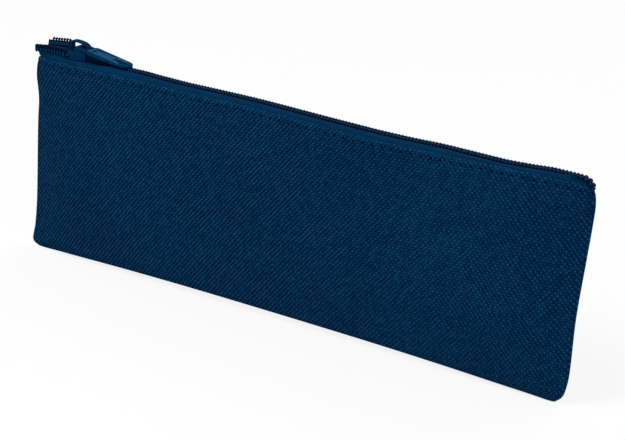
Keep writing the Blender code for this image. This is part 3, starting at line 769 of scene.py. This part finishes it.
# One turn of the coil: out along the tape, up and over to the head, and back underneath.
turn_shape = [
    (0.00, coil_back, 0.50), (0.07, coil_back - 0.0002, 0.90), (0.17, 0.0012, 1.0),
    (0.30, 0.0001, 0.98), (0.40, -head_reach + 0.00006, 0.82), (0.50, -head_reach, 0.50),
    (0.60, -head_reach + 0.00006, 0.18), (0.70, 0.0001, 0.02), (0.83, 0.0012, 0.0),
    (0.93, coil_back - 0.0002, 0.10),
]
head_widths = (1, 1, 1, 1.15, 1.45, 1.6, 1.45, 1.15, 1, 1)
turn_lean = 0.28
front_shift, rear_shift = 0.0010, coil_pitch / 2
for word, facing in (("front", -1), ("rear", 1)):
    shift = front_shift if facing < 0 else rear_shift
    turns = int((zip_run - shift) / coil_pitch)
    path = []
    for k in range(turns):
        for part, out, up in turn_shape:
            turned = part * (1 - turn_lean) + (0 if part < 0.5 else turn_lean)
            s = (k + turned) * coil_pitch + shift
            height = filament / 2 + up * (coil_thickness + 0.00015 - filament)
            path.append(coil_point(s, facing, out, height))
    coil = tube(f"{word}_nylon_coil", path, filament / 2, 8, nylon.material, head_widths)
    hold(coil, facing)
    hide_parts(f"{word}_coil")

    cord = [coil_point(k * coil_pitch / 2 + shift, facing, core_place, core_height)
            for k in range(2 * turns + 1)]
    core = tube(f"{word}_core_cord", cord, core_radius, 8, twisted.material)
    hold(core, facing)
    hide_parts(f"{word}_coil_cord")

    # Two rows of chain stitch lie side by side over the turns, and dip between them.
    threads = []
    for out in sewing_places:
        sewn = []
        for k in range(4 * turns):
            up = coil_thickness + 0.00003 + sewing_bob[k % 4]
            sewn.append(coil_point(k * coil_pitch / 4 + shift + 0.0001, facing, out, up))
        threads.append(tube(f"{word}_coil_sewing", sewn, sewing_radius, 6, sewing.material,
                            sewing_widths, coil_pitch / 4))
    thread = threads[0]
    pick(*threads)
    bpy.ops.object.join()
    hold(thread, facing)
    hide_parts(f"{word}_coil_stitches")

# ---------------------------------------------------------------- the slider
# A small zinc casting, lacquered to match: two wings joined by a post, with a crown over the bar
# of the pull tab. Edges are rounded by the mould. A steel locking spring lies under the crown.

navy_lacquer = (0.0013, 0.0190, 0.0560)
lacquer = Finish("navy_lacquer", 0.42, Metallic=0.2, Specular_IOR_Level=0,
                 Specular_Tint=(0.1, 0.75, 1.0, 1))
body_place = lacquer.place()
peel = lacquer.noise(body_place, 1100.0, 3.0)
mottle = lacquer.noise(body_place, 260.0)
lacquer.tint(navy_lacquer, lacquer.span(mottle, 0.3, 0.7, 0.78, 1.25))
lacquer.rough(lacquer.span(peel, 0.3, 0.7, 0.3, 0.46))
lacquer.bump(peel, 0.00003)


def cast_copy(node, name, rounding, shape=None, within=None):
    """A CAD node's shape as a casting: merged, its flat faces joined, and its edges rounded.
    shape moves its corners first, and within is a block that the casting is cut down to."""
    mesh = bpy.data.objects[node].data.copy()
    mesh.name = name
    piece = linked(name, mesh)
    pick(piece)
    bpy.ops.object.mode_set(mode="EDIT")
    bpy.ops.mesh.select_all(action="SELECT")
    bpy.ops.mesh.remove_doubles(threshold=0.000002)
    bpy.ops.mesh.dissolve_limited(angle_limit=math.radians(1))
    bpy.ops.object.mode_set(mode="OBJECT")
    for corner in piece.data.vertices if shape else ():
        corner.co = shape(corner.co)
    if within:
        fix(piece, "BOOLEAN", operation="INTERSECT", object=within, solver="EXACT")
        bpy.data.objects.remove(within)
    fix(piece, "BEVEL", width=rounding, segments=3, limit_method="ANGLE",
        angle_limit=math.radians(35), use_clamp_overlap=True)
    bpy.ops.object.shade_smooth_by_angle(angle=math.radians(40))
    fix(piece, "WEIGHTED_NORMAL", keep_sharp=True)
    return piece


slider_top = 0.0793
slider_block = (slider_length, 0.0082, 0.0050)
block_centre = (slider_x, 0, 0.0771)
nose_round, tail_round, top_round = 0.0040, 0.0015, 0.0009

# The body is cut down to a block with a round nose, a squarer tail and a rounded upper edge.
bpy.ops.object.select_all(action="DESELECT")
bpy.ops.mesh.primitive_cube_add(size=1, location=block_centre, scale=slider_block)
bpy.ops.object.transform_apply(location=True, scale=True)
mould = bpy.context.object
bpy.ops.object.mode_set(mode="EDIT")
bpy.ops.mesh.select_all(action="DESELECT")
shell = bmesh.from_edit_mesh(mould.data)
for nose, rounding, steps, profile in ((True, nose_round, 8, 0.32), (False, tail_round, 5, 0.5)):
    for edge in shell.edges:
        first, last = edge.verts
        upright = abs(first.co.x - last.co.x) + abs(first.co.y - last.co.y) < 0.0001
        at_end = abs(abs(first.co.x - slider_x) - slider_length / 2) < 0.0001
        edge.select = upright and at_end and (first.co.x < slider_x) == nose
    bpy.ops.mesh.bevel(offset=rounding, segments=steps, profile=profile, affect="EDGES")
    shell = bmesh.from_edit_mesh(mould.data)
for edge in shell.edges:
    edge.select = min(corner.co.z for corner in edge.verts) > slider_top + 0.0002
bpy.ops.mesh.bevel(offset=top_round, segments=4, affect="EDGES")
bpy.ops.object.mode_set(mode="OBJECT")


def domed(corner):
    """The upper wing's top is raised a little, up to the crown's feet."""
    raised = 0.00028 * smooth((corner.z - slider_top + 0.0002) / 0.0002)
    return Vector((corner.x, corner.y, corner.z + raised))


casting = cast_copy("slider_body", "slider_casting", 0.00022, domed, mould)
crown = cast_copy("slider_crown", "crown_arch", 0.00030)
for piece, node in ((casting, "slider_body"), (crown, "slider_crown")):
    wear(piece, lacquer.material)
    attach(piece, "slider")
    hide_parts(node)

steel = Finish("drawn_spring_steel", 0.3, Metallic=1.0, Base_Color=(0.42, 0.43, 0.45, 1))
die_marks = steel.noise(steel.times(steel.place(), (300.0, 9000.0, 9000.0)), 1.0)
steel.rough(steel.span(die_marks, 0.3, 0.7, 0.22, 0.42))
steel.bump(die_marks, 0.00001)
wear(bpy.data.objects["lock_spring"], steel.material)

# ---------------------------------------------------------------- the pull tab
# A flat cast tab on a round bar under the crown, lacquered as the slider is. It has a raised rim,
# a sunk field and an oval slot near its rounded tip, and lies back along the zip.

tab_lacquer = Finish("navy_tab_lacquer", 0.4, Metallic=0.2, Specular_IOR_Level=0,
                     Specular_Tint=(0.1, 0.75, 1.0, 1))
tab_place = tab_lacquer.place()
tab_peel = tab_lacquer.noise(tab_place, 900.0, 3.0)
tab_mottle = tab_lacquer.noise(tab_place, 200.0)
tab_lacquer.tint(navy_lacquer, tab_lacquer.span(tab_mottle, 0.3, 0.7, 0.85, 1.3))
tab_lacquer.rough(tab_lacquer.span(tab_peel, 0.3, 0.7, 0.26, 0.40))
tab_lacquer.bump(tab_peel, 0.00003)

# The sunk field's flat face is a lighter blue: a painted highlight for the reflection it shows.
field_highlight_blue = (0.014, 0.068, 0.145)
field_highlight_lacquer = Finish("tab_field_painted_highlight", 0.5, Metallic=0.15, Specular_IOR_Level=0,
                       Specular_Tint=(0.4, 0.8, 1.0, 1))
field_grain = field_highlight_lacquer.noise(field_highlight_lacquer.place(), 700.0, 3.0)
field_highlight_lacquer.tint(field_highlight_blue, field_highlight_lacquer.span(field_grain, 0.3, 0.7, 0.75, 1.2))
field_highlight_lacquer.bump(field_grain, 0.00003)

tab_length = 0.0232
eye_length = 0.0057
tab_half_thickness = 0.0008
field_start, field_end, field_half = 0.0066, 0.0158, 0.0023
tab_tilt = math.radians(6.775)
bar = Vector((slider_x, 0, 0.0809))
along_tab = Vector((math.cos(tab_tilt), 0, -math.sin(tab_tilt)))
above_tab = Vector((math.sin(tab_tilt), 0, math.cos(tab_tilt)))


def on_tab(corner):
    """How far a corner is from the bar along the tab, and how high above its middle plane."""
    return (corner - bar).dot(along_tab), (corner - bar).dot(above_tab)


def thinned(corner):
    """The tab is half as thick at its tip as at its eye, and keeps its flat underside."""
    far, high = on_tab(corner)
    thin = 0.55 * max(0, (far - eye_length) / (tab_length - eye_length))
    if high > 0.00001 - tab_half_thickness:
        return corner - above_tab * (high + tab_half_thickness) * thin
    return corner.copy()


pull = cast_copy("pull_tab", "cast_pull_tab", 0.00024, thinned)
wear(pull, tab_lacquer.material, field_highlight_lacquer.material)
# The upward faces of the sunk field get the painted highlight material.
for face in pull.data.polygons:
    far, high = on_tab(face.center)
    inside = field_start < far < field_end and abs(face.center.y) < field_half
    sunk = inside and -0.0005 < high < 0.0007
    face.material_index = int(sunk and face.normal.dot(above_tab) > 0.9)
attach(pull, "tab")
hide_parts("pull_tab")

# ---------------------------------------------------------------- the topstitching
# A row of lockstitch through hem and tape, 2 mm below the fold. Each stitch is pulled into the
# cloth, so only its middle stands up.

thread_radius = 0.00015
thread_sides = 6
stitch_rings = 7
stitch_start, stitch_share = 0.04, 0.88
sunk_end, arch_height = 0.00022, 0.00027
for word, facing in (("front", -1), ("rear", 1)):
    corners, faces, shares, places = [], [], [], []
    for n in range(int(2 * stitch_reach / stitch_length)):
        start = -stitch_reach + n * stitch_length
        faces += ring_faces(len(corners), stitch_rings, thread_sides)
        for i in range(stitch_rings):
            part = i / (stitch_rings - 1)
            x = start + (stitch_start + stitch_share * part) * stitch_length
            z = hem_line(x, facing) - stitch_drop
            up = arch_height * math.sin(math.pi * part) ** 0.6 - sunk_end
            point = Vector((x, facing * (wall_half(x, z) + ripple(x, z, facing) + up), z))
            for k in range(thread_sides):
                angle = 2 * math.pi * k / thread_sides
                offset = Vector((0, math.cos(angle), math.sin(angle))) * thread_radius
                corners.append(point + offset)
                shares.append(open_share(point.x))
                places.append((point.x, angle * thread_radius))
    row = new_piece(f"{word}_topstitching", corners, faces, "thread_flat", places, shares)
    wear(row, twisted.material)
    hold(row, facing)
    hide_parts(f"{word}_topstitch")

# ---------------------------------------------------------------- the side seams
# Inside, a row of lockstitch joins the turned-in edges and an overlock keeps them from fraying.
# Their CAD nodes have the right shape, so they stay and are given the look of thread.

plain_thread = Finish("inner_sewing_thread", 0.7, Specular_IOR_Level=0.08)
fuzz = plain_thread.noise(plain_thread.place(), 2600.0, 3.0)
plain_thread.tint(navy_thread, plain_thread.span(fuzz, 0.3, 0.7, 0.65, 1.3))
plain_thread.bump(fuzz, 0.00004)
for node in ("left_side_seam", "right_side_seam", "left_seam_overlock", "right_seam_overlock"):
    wear(bpy.data.objects[node], plain_thread.material)

# ---------------------------------------------------------------- studio
# A white table and a white room. What the camera sees of them is white, and they light softly.


def white_to_camera(tree, dim, bright):
    """The bright shader for what the camera, a reflection or clear stuff sees, and the dim one
    for what lights the object."""
    path = tree.nodes.new("ShaderNodeLightPath")
    seen = tree.nodes.new("ShaderNodeMath")
    seen.operation = "MAXIMUM"
    tree.links.new(path.outputs["Is Camera Ray"], seen.inputs[0])
    through = tree.nodes.new("ShaderNodeMath")
    through.operation = "MAXIMUM"
    tree.links.new(path.outputs["Is Glossy Ray"], through.inputs[0])
    tree.links.new(path.outputs["Is Transmission Ray"], through.inputs[1])
    tree.links.new(through.outputs[0], seen.inputs[1])
    mix = tree.nodes.new("ShaderNodeMixShader")
    tree.links.new(seen.outputs[0], mix.inputs[0])
    tree.links.new(dim, mix.inputs[1])
    tree.links.new(bright, mix.inputs[2])
    return mix.outputs[0]


world = bpy.data.worlds.new("studio_world")
bpy.context.scene.world = world
world.use_nodes = True
room = world.node_tree
dim = room.nodes["Background"]
dim.inputs["Color"].default_value = (0.95, 0.97, 1.0, 1)
dim.inputs["Strength"].default_value = 0.45
bright = room.nodes.new("ShaderNodeBackground")
bright.inputs["Color"].default_value = (1, 1, 1, 1)
bright.inputs["Strength"].default_value = 1.0
room.links.new(white_to_camera(room, dim.outputs[0], bright.outputs[0]),
               room.nodes["World Output"].inputs["Surface"])

bpy.ops.object.select_all(action="DESELECT")
bpy.ops.mesh.primitive_plane_add(size=6, location=(0, 0, -0.0001))
table = bpy.context.object
table.name = "white_table"
paper = bpy.data.materials.new("white_paper")
paper.use_nodes = True
paper_shader = paper.node_tree.nodes["Principled BSDF"]
paper_shader.inputs["Base Color"].default_value = (0.9, 0.9, 0.9, 1)
paper_shader.inputs["Roughness"].default_value = 0.9
glow = paper.node_tree.nodes.new("ShaderNodeEmission")
glow.inputs["Color"].default_value = (1, 1, 1, 1)
glow_share = 0.82
veil = paper.node_tree.nodes.new("ShaderNodeMixShader")
veil.inputs[0].default_value = glow_share
paper.node_tree.links.new(paper_shader.outputs[0], veil.inputs[1])
paper.node_tree.links.new(glow.outputs[0], veil.inputs[2])
paper.node_tree.links.new(
    white_to_camera(paper.node_tree, paper_shader.outputs[0], veil.outputs[0]),
    paper.node_tree.nodes["Material Output"].inputs["Surface"])
wear(table, paper)


def soft_light(name, place, aim, size, power):
    """A large square lamp at a place, turned towards a point."""
    lamp = bpy.data.lights.new(name, "AREA")
    lamp.shape, lamp.size, lamp.energy = "SQUARE", size, power
    made = linked(name, lamp)
    made.location = place
    made.rotation_euler = (Vector(aim) - Vector(place)).to_track_quat("-Z", "Y").to_euler()


middle_of_case = (0, 0, 0.04)
soft_light("key_light", (-0.55, -0.75, 0.85), middle_of_case, 0.6, 11)
soft_light("fill_light", (0.9, -0.6, 0.5), middle_of_case, 0.8, 5)
soft_light("back_light", (0.2, 0.9, 0.8), middle_of_case, 0.8, 3.5)

# The camera stands to the right of the case and a little above it.
lens = bpy.data.cameras.new("studio_camera")
camera = linked("studio_camera", lens)
lens.lens = 99.9
lens.sensor_width = 36
lens.shift_y = 0.0016
lens.clip_start = 0.01
camera.location = (0.28721, -0.48970, 0.23368)
camera.rotation_euler = (math.radians(70.846), math.radians(-4.396), math.radians(31.018))
bpy.context.scene.camera = camera
